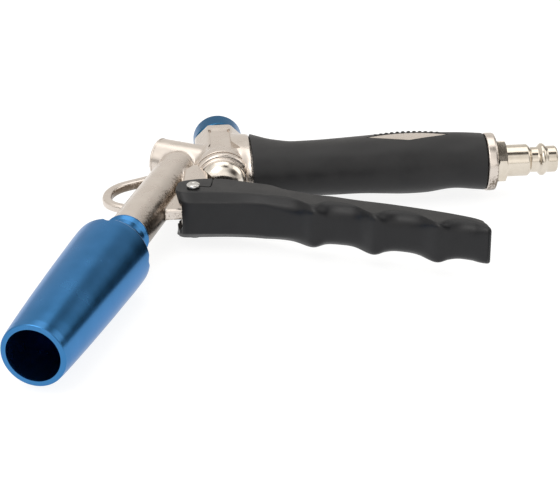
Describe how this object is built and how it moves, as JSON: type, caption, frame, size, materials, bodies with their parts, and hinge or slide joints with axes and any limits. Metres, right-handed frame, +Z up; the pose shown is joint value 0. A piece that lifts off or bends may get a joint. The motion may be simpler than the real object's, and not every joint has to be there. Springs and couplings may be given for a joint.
{
  "type": "air blow gun",
  "caption": "Compressed-air blow gun with a rubber-sleeved handle, a finger lever, a hanging loop, a quick-connect inlet plug and a flared blue venturi nozzle.",
  "frame": {"origin": "centre of the bounding box in plan, on the surface the gun lies on", "axes": "+X along the handle towards the inlet plug, +Y from the finger lever to the valve cap, +Z up out of the gun's plane of symmetry as it lies on its side"},
  "size_m": [0.1983, 0.1696, 0.0273],
  "materials": {
    "cast_nickel": "satin nickel plate over a die casting",
    "plug_nickel": "satin nickel plate",
    "gland_nickel": "bright nickel plate, turned",
    "grip_rubber": "matt moulded rubber",
    "lever_plastic": "fine-grained moulded plastic",
    "pin_steel": "bright steel",
    "seal_rubber": "soft black rubber",
    "valve_steel": "bright steel",
    "valve_brass": "turned brass",
    "cap_blue": "blue anodised, satin",
    "nozzle_blue": "blue anodised, satin",
    "jet_aluminium": "turned aluminium",
    "plug_steel": "nickel-plated steel"
  },
  "bodies": {
    "gun": {"body": "cast_nickel", "boss_plug": "plug_nickel", "grip_sleeve": "grip_rubber", "pivot_pin": "pin_steel", "gland_nut": "gland_nickel", "gland_seal": "seal_rubber", "gland_gasket": "seal_rubber", "valve_seat": "valve_brass", "seat_seal": "seal_rubber", "valve_spring": "valve_steel", "valve_cap": "cap_blue", "cap_seal": "seal_rubber", "nozzle_shroud": "nozzle_blue", "nozzle_jet": "jet_aluminium", "nozzle_seal": "seal_rubber", "quick_plug": "plug_steel", "plug_seal": "seal_rubber"},
    "trigger": {"trigger_lever": "lever_plastic"},
    "stem": {"valve_stem": "valve_steel", "valve_poppet": "valve_brass", "poppet_seal": "seal_rubber"}
  },
  "joints": [
    {"name": "trigger_hinge", "type": "hinge", "parent": "gun", "child": "trigger", "pos_m": [-0.03836, 0.01685, 0.01364], "axis": [0, 0, 1], "range_deg": [0, 13], "stiffness_Nm_per_rad": 0.9, "springref_deg": -20.05},
    {"name": "valve_slide", "type": "slide", "parent": "gun", "child": "stem", "axis": [0, 1, 0], "range_m": [0, 0.0029], "deforming": ["valve_spring"]}
  ],
  "couplings": [
    {"joint": "valve_slide", "follows": "trigger_hinge", "m_per_rad": 0.0123}
  ]
}
